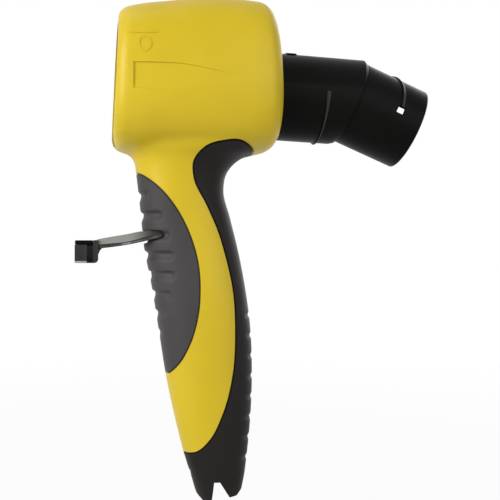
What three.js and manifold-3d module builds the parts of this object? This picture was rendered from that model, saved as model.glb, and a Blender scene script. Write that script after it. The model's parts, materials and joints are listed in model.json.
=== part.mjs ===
// The hand-grip half of a hose-fed paint spray gun, in millimetres, +Z up, spray side towards -X.
// The origin is the middle of the hand grip. Two moulded housing halves meet on the plane Y = 0.
// They trap the round socket for the spray head, the air duct, the swivelling hose elbow and the catch lever.
import * as THREE from "three";
import { mergeVertices } from "three/addons/utils/BufferGeometryUtils.js";
import Module from "manifold-3d";

const wasm = await Module();
wasm.setup();

// ---------- driving dimensions ----------
const seat = 0.3; // clearance between two pieces that touch
const seam = 0.3; // parting line between the left and right halves
const farOut = 200; // past every side of the part, for cutting blocks
const softThickness = 2.2; // soft overmoulded skin on the grip
const wall = 2.4; // housing wall under the skin
const edgeGroove = 0.9; // open groove between the skin and the hard housing

// Air passage: one straight axis from the front socket to the elbow, falling to the rear.
const airFront = { x: -40.4, z: 95 };
const airFall = THREE.MathUtils.degToRad(2.7);

// Head: a barrel with a rounded-square section, lofted along X. Each section lies a little inside the widest
// one: down from the top, up from the bottom and in from the sides.
const head = { top: 141.5, bottom: 58.2, half: 40 };
const headSquareness = 2.7;
const headSections = [
  { x: -40.6, down: 10.5, up: 7.3, slim: 6.5 },
  { x: -39.6, down: 8.1, up: 4.4, slim: 3.8 },
  { x: -37, down: 6.1, up: 1.9, slim: 2 },
  { x: -30, down: 4.3, up: 0.4, slim: 1 },
  { x: -14, down: 2, up: 0, slim: 0.4 },
  { x: 8, down: 0, up: 0, slim: 0 },
  { x: 24, down: 0.1, up: 0.2, slim: 0.2 },
  { x: 34, down: 0.7, up: 0.6, slim: 0.9 },
  { x: 40.8, down: 2.3, up: 1.8, slim: 2.6 },
  { x: 44.4, down: 5.7, up: 4, slim: 6 },
  { x: 45.9, down: 11.5, up: 8.3, slim: 10.5 },
];
const headRearLean = 0.035; // the rear face leans forward at the top

// Grip: horizontal sections from the foot up to the flare under the head.
const gripSquareness = 2.35;
const gripSections = [
  { z: -131, front: 6, rear: 26.5, half: 9 },
  { z: -127, front: 3.8, rear: 27.8, half: 11.6 },
  { z: -118, front: 1.1, rear: 29.2, half: 13.4 },
  { z: -104, front: -3.3, rear: 31, half: 14.8 },
  { z: -85, front: -8.1, rear: 32.8, half: 16.6 },
  { z: -62, front: -13, rear: 33.7, half: 18.4 },
  { z: -36, front: -17.1, rear: 32.8, half: 19.6 },
  { z: -12, front: -21, rear: 29.6, half: 19.9 },
  { z: 8, front: -24.9, rear: 25.6, half: 19.6 },
  { z: 24, front: -26.5, rear: 21.6, half: 19.2 },
  { z: 39, front: -28.1, rear: 18, half: 19.2 },
  { z: 48, front: -29.2, rear: 19.7, half: 20 },
  { z: 53.5, front: -30, rear: 24, half: 21.4 },
  { z: 57, front: -32, rear: 29, half: 23 },
  { z: 60, front: -36, rear: 38, half: 25.4 },
  { z: 64, front: -37.5, rear: 41, half: 27 },
];

// Finger grooves round the front of the grip, and scallops across its rear edge, counted downwards.
const fingerGrooves = {
  top: 35.6, pitch: 10.5, count: 8, depth: 1, half: 2.6,
  longest: 13, shortest: 3, middle: 3, taper: 3.7, fade: 5,
};
const palmScallops = { top: -28.7, pitch: 11, count: 8, depth: 0.7, half: 1.8, halfWidth: 13, fade: 5 };

// Shallow bare panel on the left side of the head, deepest at its front edge.
const panel = {
  front: -32.2, rear: 33.7, low: 87.4, high: 100.3, tipLow: 88.7, fallFrom: -7.2, fallPower: 1.7, depth: 0.8,
};

// Edges of the soft skins, seen from the side.
const frontSkinEdge = [
  [-29.8, 47.4], [-25.6, 44.9], [-16.6, 37.2], [-8.8, 27], [-2.4, 14], [1.6, -0.2],
  [2.7, -13.8], [1.9, -26.4], [-2.8, -43.7], [-8, -53.4], [-12.3, -58.6],
];
const rearSkinEdge = [
  [33.5, 58], [29.7, 60.7], [23.4, 63.3], [15.8, 62.9], [6, 59.8], [0.4, 53], [0.6, 45], [7.5, 30.7],
  [13.8, 16.5], [18.5, 0.9], [21.7, -14], [23, -37], [21.8, -58.5], [16.3, -80.6], [8.9, -95.2],
  [2.5, -101.2], [-4, -103],
];
const notch = { top: -117.3, frontFoot: 10.2, frontTop: 11.5, rearTop: 14.6, rearFoot: 23.2 };
const footTop = -112; // the foot's outline shapes what lies below this height
const footOutline = [
  [0, footTop], [1, -118], [3.2, -124.8], [6.6, -128.4], [11.2, -129.4],
  [19.4, -126], [24, -125.4], [27, -122.4], [30, footTop],
];

// Front socket for the spray head.
const lip = 3.2; // front wall of the housing, ahead of the socket's flange
const socket = {
  ring: 32.8, bore: 28.5, proud: 0.4, depth: 21, floor: 2.2, flange: 34.1, flangeWidth: 2.6, shoulder: 3,
};
const bayonet = { count: 3, width: 9, height: 2.2, setback: 5, thickness: 3, root: 1 };
const duct = { inlet: 22, outlet: 18.5, wall: 2, collar: 26.5, collarWidth: 2.6, taperEnd: 40 };
const sealRing = { section: 1.6, sides: 6, lap: 1.2, seatOffset: 1 };

// Ribs of the housing that hold the socket, the duct and the bush, by their stations along the air axis.
const ribReach = 80;
const socketRibWidth = 2.4;
const ductRib = { from: 44, width: 2.4 };
const rearCup = { from: 68, bushFrom: 77, to: 90 };

// Corners of the rings of the outer forms, the core under the skins and the hollow, and of round pieces.
const gripPoints = 20;
const headPoints = 24;
const corePoints = 16;
const hollowPoints = 12;
const roundSides = 28;
const innerSides = 20; // seals and duct
const barSides = 10;
const pinSides = 16;

// Rear elbow and hose socket.
const elbow = { outer: 23.7, bore: 20.4, flange: 26.2, flangeWidth: 3, bend: 130 };
const elbowChamfer = { length: 6, rise: 2, lip: 1, step: 0.8 }; // from the elbow down to the hose socket
const elbowMouth = { from: -9, to: 6, step: 0.4 }; // clears the inside of the bend
const elbowBead = { from: 94, width: 5.4, height: 0.7, slope: 0.6 };
const bush = { wall: 2, width: 9 };
const hose = { outer: 22.9, bore: 20.6, length: 37, fall: THREE.MathUtils.degToRad(20.4), rimRound: 1 };
const elbowRib = { station: 111, width: 2, height: 0.9, root: 1, below: 91 };
const hoseRib = { station: 21, width: 1.8, height: 0.7, root: 1, above: 84 };

// Square holes in the hose socket, on the left and right side, each turned up from the side by an angle.
const snapHoles = [
  { side: -1, station: 23.4, turn: THREE.MathUtils.degToRad(5.9), size: 4.2 },
  { side: 1, station: 33.2, turn: THREE.MathUtils.degToRad(38), size: 4.8 },
];

// Catch lever.
const pivot = { x: -15, z: 16.2, pin: 1.5, pinSeat: 3.5, hub: 3.4, hubHalf: 8.2, boss: 3.6 };
const leverTravel = THREE.MathUtils.degToRad(5);
const leverShoulder = -20.5; // the wide arm narrows behind this station
const leverSections = [
  { x: -49, top: 12.4, bottom: 6.6, half: 7.4 },
  { x: -41, top: 14, bottom: 8, half: 8.8 },
  { x: -33, top: 15.4, bottom: 9.3, half: 11.2 },
  { x: -26, top: 17, bottom: 10.6, half: 13.8 },
  { x: leverShoulder, top: 18.2, bottom: 11.9, half: 14.2 },
  { x: -18.6, top: 18.6, bottom: 12.4, half: 7.6 },
  { x: -8, top: 19.4, bottom: 14.4, half: 7 },
  { x: 2, top: 19.4, bottom: 15, half: 6 },
];
const leverBevel = 3;
const slotClearance = 0.4;
const slotEnd = -12; // the slot runs back into the hollow of the grip
const tip = { front: -61.6, top: 11.7, bottom: -0.4, half: 7.4, face: 7, corner: 1 };
const tipHeel = { back: 2.4, turn: 0.6, rise: 1.4, top: 4 }; // rounded lower rear corner
const tipRecess = { width: 3.2, depth: 1.3, rim: 2.4 };
const tipStud = { inFromFront: 2.1, up: 2.6, radius: 1.1, proud: 0.5 };
const tongue = { length: 6, height: 3, half: 4, up: 1, root: 2 };
const spring = { x: -3, radius: 2.7, wire: 0.45, turns: 5, top: 27.4, curlSteps: 8, sides: 5 };
const springShelf = { thickness: 1.8, half: 6 };

// Housing screws, driven from the right side.
const screwPlaces = [
  [-12, head.top - 11], [33, head.top - 12], [-14, 56], [-3, 37.5], [12.4, -20], [5.5, -76],
];
const screw = {
  shaft: 1.4, head: 2.9, headHeight: 2.2, reach: 11, boss: 3.9, slot: 1.7, slotWidth: 0.8, slotDepth: 1.2,
};
const screwFloor = 6; // thickness of the right boss under the screw head

const colours = {
  yellow: 0xcfb430, skin: 0x4b4949, skinRear: 0x2b2828, black: 0x141414,
  steel: 0x9a9a9a, seal: 0x1c1c1c, bush: 0xd8d8d4,
};

// ---------- materials ----------
const plastic = (color, roughness) => new THREE.MeshStandardMaterial({ color, roughness, metalness: 0 });
const metal = () => new THREE.MeshStandardMaterial({ color: colours.steel, roughness: 0.35, metalness: 1 });

// ---------- solids ----------
function solid(geometry) {
  const source = geometry.clone();
  source.deleteAttribute("normal");
  source.deleteAttribute("uv");
  const merged = mergeVertices(source, 1e-4);
  return new wasm.Manifold(
    new wasm.Mesh({
      numProp: 3,
      vertProperties: merged.attributes.position.array,
      triVerts: new Uint32Array(merged.index.array),
    }),
  );
}

function toGeometry(manifold) {
  const mesh = manifold.getMesh();
  const geometry = new THREE.BufferGeometry();
  geometry.setAttribute("position", new THREE.BufferAttribute(mesh.vertProperties, 3));
  geometry.setIndex(new THREE.BufferAttribute(mesh.triVerts, 1));
  geometry.computeVertexNormals();
  return geometry;
}

// Joins rings of points into one closed skin with a flat cap at each end.
function loft(rings) {
  const count = rings[0].length;
  const positions = rings.flat().flatMap((p) => [p.x, p.y, p.z]);
  const index = [];
  for (let r = 0; r + 1 < rings.length; r++) {
    for (let i = 0; i < count; i++) {
      const a = r * count + i;
      const b = r * count + ((i + 1) % count);
      index.push(a, b, b + count, a, b + count, a + count);
    }
  }
  const last = (rings.length - 1) * count;
  for (let i = 1; i + 1 < count; i++) {
    index.push(0, i + 1, i);
    index.push(last, last + i, last + i + 1);
  }
  const geometry = new THREE.BufferGeometry();
  geometry.setAttribute("position", new THREE.Float32BufferAttribute(positions, 3));
  geometry.setIndex(index);
  return solid(geometry);
}

const power = (value, exponent) => Math.sign(value) * Math.abs(value) ** exponent;

// A point of a rounded rectangle (superellipse) with half sizes a and b.
function squircle(angle, a, b, squareness) {
  return [a * power(Math.cos(angle), 2 / squareness), b * power(Math.sin(angle), 2 / squareness)];
}

// A smooth value between the sections of a loft.
function between(sections, key, field) {
  const at = sections.map((s) => s[key]);
  const values = sections.map((s) => s[field]);
  const curve = new THREE.CubicInterpolant(at, values, 1);
  return (t) => curve.evaluate(t)[0];
}

function spread(from, to, steps) {
  return Array.from({ length: steps + 1 }, (_, i) => from + ((to - from) * i) / steps);
}

const gripFront = between(gripSections, "z", "front");
const gripRear = between(gripSections, "z", "rear");
const gripHalf = between(gripSections, "z", "half");

// The grip's outer form, or a copy drawn in by an inset and, point by point, by a pattern pressed into it.
function gripForm(inset, stations, points, pressed = () => 0) {
  const rings = stations.map((z) => {
    const middle = (gripFront(z) + gripRear(z)) / 2;
    const depth = (gripRear(z) - gripFront(z)) / 2 - inset;
    const half = gripHalf(z) - inset;
    return spread(0, 2 * Math.PI, points)
      .slice(0, points)
      .map((angle) => {
        const [plainX, plainY] = squircle(angle, depth, half, gripSquareness);
        const press = pressed(middle + plainX, plainY, z);
        const [x, y] = squircle(angle, depth - press, half - press, gripSquareness);
        return new THREE.Vector3(middle + x, y, z);
      });
  });
  return loft(rings);
}

const ease = (t) => THREE.MathUtils.smoothstep(t, 0, 1);
const rowHeight = (rows, i) => rows.top - i * rows.pitch;

// How far into a row of grooves a height reaches: 1 on the middle of a groove and 0 past its edges.
function rowShare(rows, z) {
  const i = Math.round((rows.top - z) / rows.pitch);
  return i < 0 || i >= rows.count ? 0 : Math.max(1 - Math.abs(z - rowHeight(rows, i)) / rows.half, 0);
}

// Each finger groove runs back from the front edge of the grip, the middle ones furthest.
function fingerPress(x, y, z) {
  const i = (fingerGrooves.top - z) / fingerGrooves.pitch;
  const bulge = Math.cos(((i - fingerGrooves.middle) / fingerGrooves.taper) * (Math.PI / 2));
  const length = Math.max(fingerGrooves.longest * bulge, fingerGrooves.shortest);
  const along = ease((gripFront(z) + length - x) / fingerGrooves.fade);
  return fingerGrooves.depth * rowShare(fingerGrooves, z) * along;
}

function palmPress(x, y, z) {
  const behind = x > (gripFront(z) + gripRear(z)) / 2;
  const across = ease((palmScallops.halfWidth - Math.abs(y)) / palmScallops.fade);
  return behind ? palmScallops.depth * rowShare(palmScallops, z) * across : 0;
}

// Three heights for each row of a groove pattern, from the lowest upwards.
const rowStations = (rows) =>
  spread(rows.count - 1, 0, rows.count - 1).flatMap((i) => {
    const z = rowHeight(rows, i);
    return [z - rows.half, z, z + rows.half];
  });

// The head's outer form, or a copy of it drawn in by an inset.
function headForm(inset, points) {
  const start = headSections[0].x;
  const end = headSections.at(-1).x;
  const rings = headSections.map((s) => {
    const along = (s.x - start) / (end - start);
    const x = start + inset + along * (end - start - 2 * inset);
    const top = head.top - s.down - inset;
    const bottom = head.bottom + s.up + inset;
    const half = head.half - s.slim - inset;
    const middle = (top + bottom) / 2;
    return spread(0, 2 * Math.PI, points)
      .slice(0, points)
      .map((angle) => {
        const [y, z] = squircle(angle, half, (top - bottom) / 2, headSquareness);
        const lean = (middle + z - airFront.z) * (Math.tan(airFall) * (1 - along) - headRearLean * along);
        return new THREE.Vector3(x + lean, y, middle + z);
      });
  });
  return loft(rings);
}

// A side outline pushed through the part from left to right.
function acrossOf(shape, halfWidth, curveSegments = 2) {
  const settings = { depth: 2 * halfWidth, bevelEnabled: false, curveSegments };
  const geometry = new THREE.ExtrudeGeometry(shape, settings);
  geometry.translate(0, 0, -halfWidth);
  geometry.rotateX(Math.PI / 2);
  return solid(geometry);
}

const polygon = (points) => new THREE.Shape(points.map(([x, y]) => new THREE.Vector2(x, y)));

function block(x0, x1, y0, y1, z0, z1) {
  const geometry = new THREE.BoxGeometry(x1 - x0, y1 - y0, z1 - z0);
  geometry.translate((x0 + x1) / 2, (y0 + y1) / 2, (z0 + z1) / 2);
  return solid(geometry);
}

// A round bar along Y through (x, z), from y0 to y1.
function crossBar(x, z, radius, y0, y1, sides = barSides) {
  const geometry = new THREE.CylinderGeometry(radius, radius, y1 - y0, sides);
  geometry.translate(0, (y0 + y1) / 2, 0);
  geometry.translate(x, 0, z);
  return solid(geometry);
}

// Places a shape made about the local Y axis on the air axis, or on a second axis that starts along it.
function airMatrix(station = 0, extraFall = 0) {
  const matrix = new THREE.Matrix4().makeTranslation(airFront.x, 0, airFront.z);
  matrix.multiply(new THREE.Matrix4().makeRotationY(airFall));
  matrix.multiply(new THREE.Matrix4().makeTranslation(station, 0, 0));
  matrix.multiply(new THREE.Matrix4().makeRotationY(extraFall));
  matrix.multiply(new THREE.Matrix4().makeRotationZ(-Math.PI / 2));
  return matrix;
}

// A turned solid: the profile is a list of [station, radius] along the axis.
function turned(profile, sides = roundSides, matrix = airMatrix()) {
  const points = profile.map(([station, radius]) => new THREE.Vector2(radius, station));
  const geometry = new THREE.LatheGeometry(points, sides);
  geometry.applyMatrix4(matrix);
  return solid(geometry);
}

const rod = (s0, s1, radius, sides = roundSides, matrix = airMatrix()) =>
  turned([[s0, 0], [s0, radius], [s1, radius], [s1, 0]], sides, matrix);

const pipe = (s0, s1, inner, outer, sides = roundSides, matrix = airMatrix()) =>
  turned([[s0, inner], [s0, outer], [s1, outer], [s1, inner], [s0, inner]], sides, matrix);

// ---------- soft skins ----------
const skinReach = 1.5 * head.half; // half width of the cutting outlines, past both sides of the part

// Moves each point of an edge sideways, to its left for a positive distance.
function offset(edge, distance) {
  return edge.map(([x, z], i) => {
    const before = new THREE.Vector2(...edge[Math.max(i - 1, 0)]);
    const after = new THREE.Vector2(...edge[Math.min(i + 1, edge.length - 1)]);
    const along = after.sub(before).normalize();
    return new THREE.Vector2(x - along.y * distance, z + along.x * distance);
  });
}

function frontSkinOutline(grow) {
  const shape = new THREE.Shape();
  const [first, ...rest] = offset(frontSkinEdge, grow);
  shape.moveTo(-skinReach, first.y);
  shape.lineTo(first.x, first.y);
  shape.splineThru(rest);
  shape.lineTo(-skinReach, rest.at(-1).y);
  return shape;
}

function rearSkinOutline(grow) {
  const shape = new THREE.Shape();
  const [first, ...rest] = offset(rearSkinEdge, -grow);
  const low = gripSections[0].z - 5;
  shape.moveTo(skinReach, first.y);
  shape.lineTo(first.x, first.y);
  shape.splineThru(rest);
  shape.lineTo(-skinReach, rest.at(-1).y);
  shape.lineTo(-skinReach, low);
  shape.lineTo(skinReach, low);
  return shape;
}

// ---------- the grip and head as nested forms ----------
const gripTop = gripSections.at(-1).z;
const coreFoot = notch.top + 4; // the hard core ends above the notch, so the two prongs are all soft
const flareFoot = 42; // the grip widens quickly above this height, so the rings lie closer there
const skinFoot = frontSkinEdge.at(-1)[1] - softThickness; // the front skin's form starts just below its edge
const flareStations = spread(flareFoot, gripTop, 7);
const gripStations = [...spread(gripSections[0].z, flareFoot, 12).slice(0, -1), ...flareStations];
const coreStations = [...spread(coreFoot, flareFoot, 7), ...spread(flareFoot, gripTop, 5).slice(1)];
const fingerRows = rowStations(fingerGrooves);
const fingerStations = [...spread(skinFoot, fingerRows[0], 3).slice(0, -1), ...fingerRows, ...flareStations];
const palmRows = rowStations(palmScallops);
const palmStations = [
  ...spread(gripSections[0].z, palmRows[0], 5).slice(0, -1), ...palmRows.slice(0, -1),
  ...spread(palmRows.at(-1), flareFoot, 7).slice(0, -1), ...flareStations,
];
const [, ...coreRest] = coreStations;
const outerForm = gripForm(0, gripStations, gripPoints).add(headForm(0, headPoints));
const skinFloor = gripForm(softThickness, coreStations, corePoints).add(headForm(softThickness, corePoints));
const skinInset = softThickness - seat;
const skinCore = gripForm(skinInset, [coreFoot - seat, ...coreRest], corePoints);
const skinInside = skinCore.add(headForm(skinInset, corePoints));
const ribInset = 1; // ribs and bosses end inside the outer surface
const ribLimit = gripForm(ribInset, coreStations, corePoints).add(headForm(ribInset, headPoints));
const wallInset = softThickness + wall;
const hollowStations = spread(coreFoot + wall, gripTop, 9);
const hollow = gripForm(wallInset, hollowStations, hollowPoints).add(headForm(wallInset, hollowPoints));

const fingerForm = gripForm(0, fingerStations, gripPoints, fingerPress);
const palmForm = gripForm(0, palmStations, gripPoints, palmPress).add(headForm(0, headPoints));

const leftSide = block(-farOut, farOut, -farOut, -seam / 2, -farOut, farOut);
const rightSide = block(-farOut, farOut, seam / 2, farOut, -farOut, farOut);

// The lever's own form, also used for its slot.
function leverForm(grow, drop) {
  const rings = leverSections.map((s) => {
    const low = s.bottom - grow - drop * Math.max(pivot.x - s.x, 0);
    const high = s.top + grow + drop * Math.max(s.x - pivot.x, 0);
    const half = s.half + grow;
    const shoulder = leverBevel - grow / 2;
    const x = s.x < leverShoulder ? s.x : s.x + 2 * grow;
    return [
      [half, low], [half, high - shoulder], [half - shoulder, high],
      [shoulder - half, high], [-half, high - shoulder], [-half, low],
    ].map(([y, z]) => new THREE.Vector3(x, y, z));
  });
  return loft(rings);
}

const leverSlot = leverForm(slotClearance, Math.tan(leverTravel)).intersect(
  block(leverSections[1].x, slotEnd, -skinReach, skinReach, 0, gripTop),
);

// ---------- foot ----------
const notchCut = acrossOf(
  polygon([
    [notch.frontFoot, gripSections[0].z], [notch.frontTop, notch.top],
    [notch.rearTop, notch.top], [notch.rearFoot, gripSections[0].z],
  ]),
  skinReach,
);
const footShape = polygon([
  [-skinReach, footTop], ...footOutline, [skinReach, footTop], [skinReach, farOut], [-skinReach, farOut],
]);
const footLimit = acrossOf(footShape, skinReach);

function makeSkin(form, outline, side) {
  return form
    .subtract(skinInside)
    .intersect(acrossOf(outline, skinReach))
    .intersect(side)
    .intersect(footLimit)
    .subtract(notchCut)
    .subtract(leverSlot);
}

// ---------- housing ----------
function housingBosses() {
  const inner = pivot.hubHalf + seat;
  const bars = screwPlaces.map(([x, z]) => crossBar(x, z, screw.boss, -skinReach, skinReach));
  bars.push(crossBar(pivot.x, pivot.z, pivot.boss, -skinReach, -inner));
  bars.push(crossBar(pivot.x, pivot.z, pivot.boss, inner, skinReach));
  return bars.reduce((sum, bar) => sum.add(bar));
}

const pinHalf = pivot.hubHalf + seat + pivot.pinSeat;
const socketRibFrom = lip + socket.flangeWidth + 2 * seat;

function housingRibs() {
  const slab = (from, to) => rod(from, to, ribReach, 24);
  const shelfFoot = spring.top + seat;
  const shelf = block(
    spring.x - springShelf.half, spring.x + springShelf.half, -skinReach, skinReach,
    shelfFoot, shelfFoot + springShelf.thickness,
  );
  return slab(socketRibFrom, socketRibFrom + socketRibWidth)
    .add(slab(ductRib.from, ductRib.from + ductRib.width))
    .add(slab(rearCup.from, rearCup.to))
    .intersect(headForm(ribInset, 28))
    .add(shelf);
}

const bushOuter = elbow.outer + seat + bush.wall;

function housingBores() {
  const past = 20; // the bores run out past both ends of the head
  const socketEnd = socket.depth + socket.floor + duct.collarWidth + 4 * seat;
  const ductSeat = duct.outlet + duct.wall + seat;
  const cupFrom = rearCup.from - 2;
  return turned([
    [-past, 0], [-past, socket.ring + seat], [lip, socket.ring + seat], [lip, socket.flange + seat],
    [socketRibFrom, socket.flange + seat], [socketRibFrom, socket.ring + seat],
    [socketEnd, socket.ring + seat], [socketEnd, ductSeat], [cupFrom, ductSeat], [cupFrom, elbow.flange + seat],
    [rearCup.bushFrom, elbow.flange + seat], [rearCup.bushFrom, bushOuter + seat],
    [rearCup.to + past, bushOuter + seat], [rearCup.to + past, 0],
  ]);
}

// The panel's cutter, with a floor that rises to the surface of the head at its rear tip.
function panelCut() {
  const slim = between(headSections, "x", "slim");
  const rings = spread(panel.front, panel.rear, 6).map((x) => {
    const along = (x - panel.front) / (panel.rear - panel.front);
    const fall = Math.max((x - panel.fallFrom) / (panel.rear - panel.fallFrom), 0) ** panel.fallPower;
    const high = panel.high - (panel.high - panel.tipLow) * fall;
    const floor = slim(x) - head.half + panel.depth * (1 - along);
    return [[-skinReach, panel.low], [floor, panel.low], [floor, high], [-skinReach, high]].map(
      ([y, z]) => new THREE.Vector3(x, y, z),
    );
  });
  return loft(rings);
}

function makeHousing(side) {
  const softZones = acrossOf(frontSkinOutline(edgeGroove), skinReach)
    .add(acrossOf(rearSkinOutline(edgeGroove), skinReach))
    .subtract(skinFloor);
  const inside = housingBosses().add(housingRibs()).intersect(ribLimit);
  let shell = outerForm.subtract(hollow).add(inside);
  shell = shell.subtract(housingBores()).subtract(softZones).subtract(leverSlot).subtract(panelCut());
  for (const [x, z] of screwPlaces) {
    shell = shell.subtract(crossBar(x, z, screw.shaft + seat, -screw.reach, screwFloor + 1));
    shell = shell.subtract(crossBar(x, z, screw.head + seat, screwFloor, skinReach));
  }
  const pinEnd = pinHalf + seat;
  shell = shell.subtract(crossBar(pivot.x, pivot.z, pivot.pin + seat, -pinEnd, pinEnd, pinSides));
  return shell.intersect(side);
}

// ---------- front socket, seals and duct ----------
function makeSocket() {
  const ringFront = -socket.proud;
  const flangeAt = lip + seat;
  let body = turned([
    [ringFront, socket.bore], [ringFront, socket.ring], [flangeAt, socket.ring],
    [flangeAt, socket.flange], [flangeAt + socket.flangeWidth, socket.flange],
    [flangeAt + socket.flangeWidth, socket.ring], [socket.depth, socket.ring],
    [socket.depth + socket.floor, socket.ring - socket.shoulder], [socket.depth + socket.floor, duct.inlet],
    [socket.depth, duct.inlet], [socket.depth, socket.bore], [ringFront, socket.bore],
  ]);
  for (let i = 0; i < bayonet.count; i++) {
    const rooted = bayonet.height + bayonet.root;
    const lug = new THREE.BoxGeometry(bayonet.thickness, bayonet.width, rooted);
    lug.translate(bayonet.setback + bayonet.thickness / 2, 0, socket.bore + bayonet.root - rooted / 2);
    lug.rotateX((2 * Math.PI * i) / bayonet.count + Math.PI / 6);
    lug.applyMatrix4(airMatrix().multiply(new THREE.Matrix4().makeRotationZ(Math.PI / 2)));
    body = body.add(solid(lug));
  }
  return body;
}

function sealAt(station, radius) {
  const profile = spread(0, 2 * Math.PI, sealRing.sides).map((angle) => [
    station + sealRing.section * Math.sin(angle),
    radius + sealRing.section * Math.cos(angle),
  ]);
  profile[sealRing.sides] = profile[0];
  return turned(profile, innerSides);
}

const ductStart = socket.depth + socket.floor + seat;
const ductEnd = rearCup.from - 3;

function makeDuct() {
  const inner = duct.inlet;
  const outer = duct.outlet;
  return turned([
    [ductStart, inner], [ductStart, duct.collar], [ductStart + duct.collarWidth, duct.collar],
    [ductStart + duct.collarWidth, inner + duct.wall], [duct.taperEnd, outer + duct.wall],
    [ductEnd, outer + duct.wall], [ductEnd, outer], [duct.taperEnd, outer], [ductStart, inner],
  ], innerSides);
}

function makeBush() {
  const start = rearCup.bushFrom + seat;
  return pipe(start, start + bush.width, elbow.outer + seat, bushOuter);
}

// ---------- elbow ----------
const flangeFrom = rearCup.from + 3;
const hoseMatrix = airMatrix(elbow.bend, hose.fall);

function makeElbow() {
  const spare = 12; // the straight tube runs on past the bend before the mitre cuts it
  const beadEnd = elbowBead.from + elbowBead.width + elbowBead.slope;
  const flangeEnd = flangeFrom + elbow.flangeWidth;
  const outside = turned([
    [flangeFrom, 0], [flangeFrom, elbow.flange], [flangeEnd, elbow.flange], [flangeEnd, elbow.outer],
    [elbowBead.from, elbow.outer], [elbowBead.from + elbowBead.slope, elbow.outer + elbowBead.height],
    [beadEnd - elbowBead.slope, elbow.outer + elbowBead.height], [beadEnd, elbow.outer],
    [elbow.bend + spare, elbow.outer], [elbow.bend + spare, 0],
  ]);
  const inside = rod(flangeFrom - spare, elbow.bend + spare, elbow.bore);
  const mitreSide = rod(-ribReach, 0, ribReach, 8, hoseMatrix);
  const chamferFoot = [-elbowChamfer.length, elbow.outer + elbowChamfer.rise];
  const chamfer = turned([
    chamferFoot, [-elbowChamfer.length, ribReach], [elbowChamfer.lip, ribReach],
    [elbowChamfer.lip, hose.outer - elbowChamfer.step], chamferFoot,
  ], roundSides, hoseMatrix);
  const mouth = rod(elbowMouth.from, elbowMouth.to, hose.bore - elbowMouth.step, roundSides, hoseMatrix);
  const ribRing = pipe(
    elbowRib.station, elbowRib.station + elbowRib.width,
    elbow.outer - elbowRib.root, elbow.outer + elbowRib.height,
  );
  const lowerHalf = block(0, farOut, -skinReach, skinReach, 0, elbowRib.below);
  return outside
    .subtract(inside)
    .add(ribRing.intersect(lowerHalf))
    .intersect(mitreSide)
    .subtract(chamfer)
    .subtract(mouth);
}

function snapCut({ side, station, turn, size }) {
  const hole = new THREE.BoxGeometry(skinReach, size, size);
  hole.translate((-side * skinReach) / 2, station, 0);
  hole.rotateY(side * turn);
  hole.applyMatrix4(hoseMatrix);
  return solid(hole);
}

function makeHoseSocket() {
  const upperHalf = block(0, farOut, -skinReach, skinReach, hoseRib.above, farOut);
  const round = spread(0, Math.PI / 2, 3).map((angle) => [
    hose.length - hose.rimRound * (1 - Math.sin(angle)),
    hose.outer - hose.rimRound * (1 - Math.cos(angle)),
  ]);
  const body = turned([
    [seat, hose.bore], [seat, hose.outer], ...round, [hose.length, hose.bore], [seat, hose.bore],
  ], roundSides, hoseMatrix);
  const ribRing = pipe(
    hoseRib.station, hoseRib.station + hoseRib.width,
    hose.outer - hoseRib.root, hose.outer + hoseRib.height, roundSides, hoseMatrix,
  );
  const ribbed = body.add(ribRing.intersect(upperHalf));
  return snapHoles.reduce((rest, hole) => rest.subtract(snapCut(hole)), ribbed);
}

// ---------- catch lever ----------
// The tongue that carries the tip, or its pocket when grown by a clearance.
function tongueBar(grow) {
  const root = leverSections[0];
  const low = root.bottom + tongue.up;
  return block(
    root.x - tongue.length - grow, root.x + tongue.root, -tongue.half - grow, tongue.half + grow,
    low - grow, low + tongue.height + grow,
  );
}

function makeLever() {
  const hub = crossBar(pivot.x, pivot.z, pivot.hub, -pivot.hubHalf, pivot.hubHalf, pinSides);
  const bore = crossBar(pivot.x, pivot.z, pivot.pin + seat, -skinReach, skinReach, pinSides);
  return leverForm(0, 0).add(hub).add(tongueBar(0)).subtract(bore);
}

function makeTip() {
  const rear = leverSections[0].x - seat;
  const recessAt = tip.front + tip.face;
  const { front, top, bottom, corner } = tip;
  const outline = polygon([
    [front, bottom + corner], [front + corner, bottom], [rear - tipHeel.back, bottom],
    [rear - tipHeel.turn, bottom + tipHeel.rise], [rear, bottom + tipHeel.top], [rear, top - corner],
    [rear - corner, top], [front + corner, top], [front, top - corner],
  ]);
  const recess = (y0, y1) =>
    block(recessAt, recessAt + tipRecess.width, y0, y1, bottom - corner, top - tipRecess.rim);
  const studReach = tip.half + tipStud.proud;
  const stud = crossBar(
    tip.front + tipStud.inFromFront, tip.bottom + tipStud.up, tipStud.radius, -studReach, studReach,
  );
  return acrossOf(outline, tip.half)
    .subtract(recess(-skinReach, tipRecess.depth - tip.half))
    .subtract(recess(tip.half - tipRecess.depth, skinReach))
    .add(stud)
    .subtract(tongueBar(seat));
}

// The return spring stands on the lever's rear arm and pushes against the shelf above it.
const springFoot = leverSections.at(-1).top + seat;

class Helix extends THREE.Curve {
  getPoint(t, target = new THREE.Vector3()) {
    const low = springFoot + spring.wire;
    const angle = t * spring.turns * 2 * Math.PI;
    const rise = spring.top - spring.wire - low;
    return target.set(
      spring.x + spring.radius * Math.cos(angle),
      spring.radius * Math.sin(angle),
      low + rise * t,
    );
  }
}

// The least gap between one curl of the wire and the next, measured on points of its centre line.
function leastGap(curve) {
  const points = curve.getPoints(24 * spring.turns);
  let least = Infinity;
  for (let i = 0; i < points.length; i++) {
    for (let j = i + 12; j < points.length; j++) {
      least = Math.min(least, points[i].distanceTo(points[j]));
    }
  }
  return least - 2 * spring.wire;
}

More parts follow.
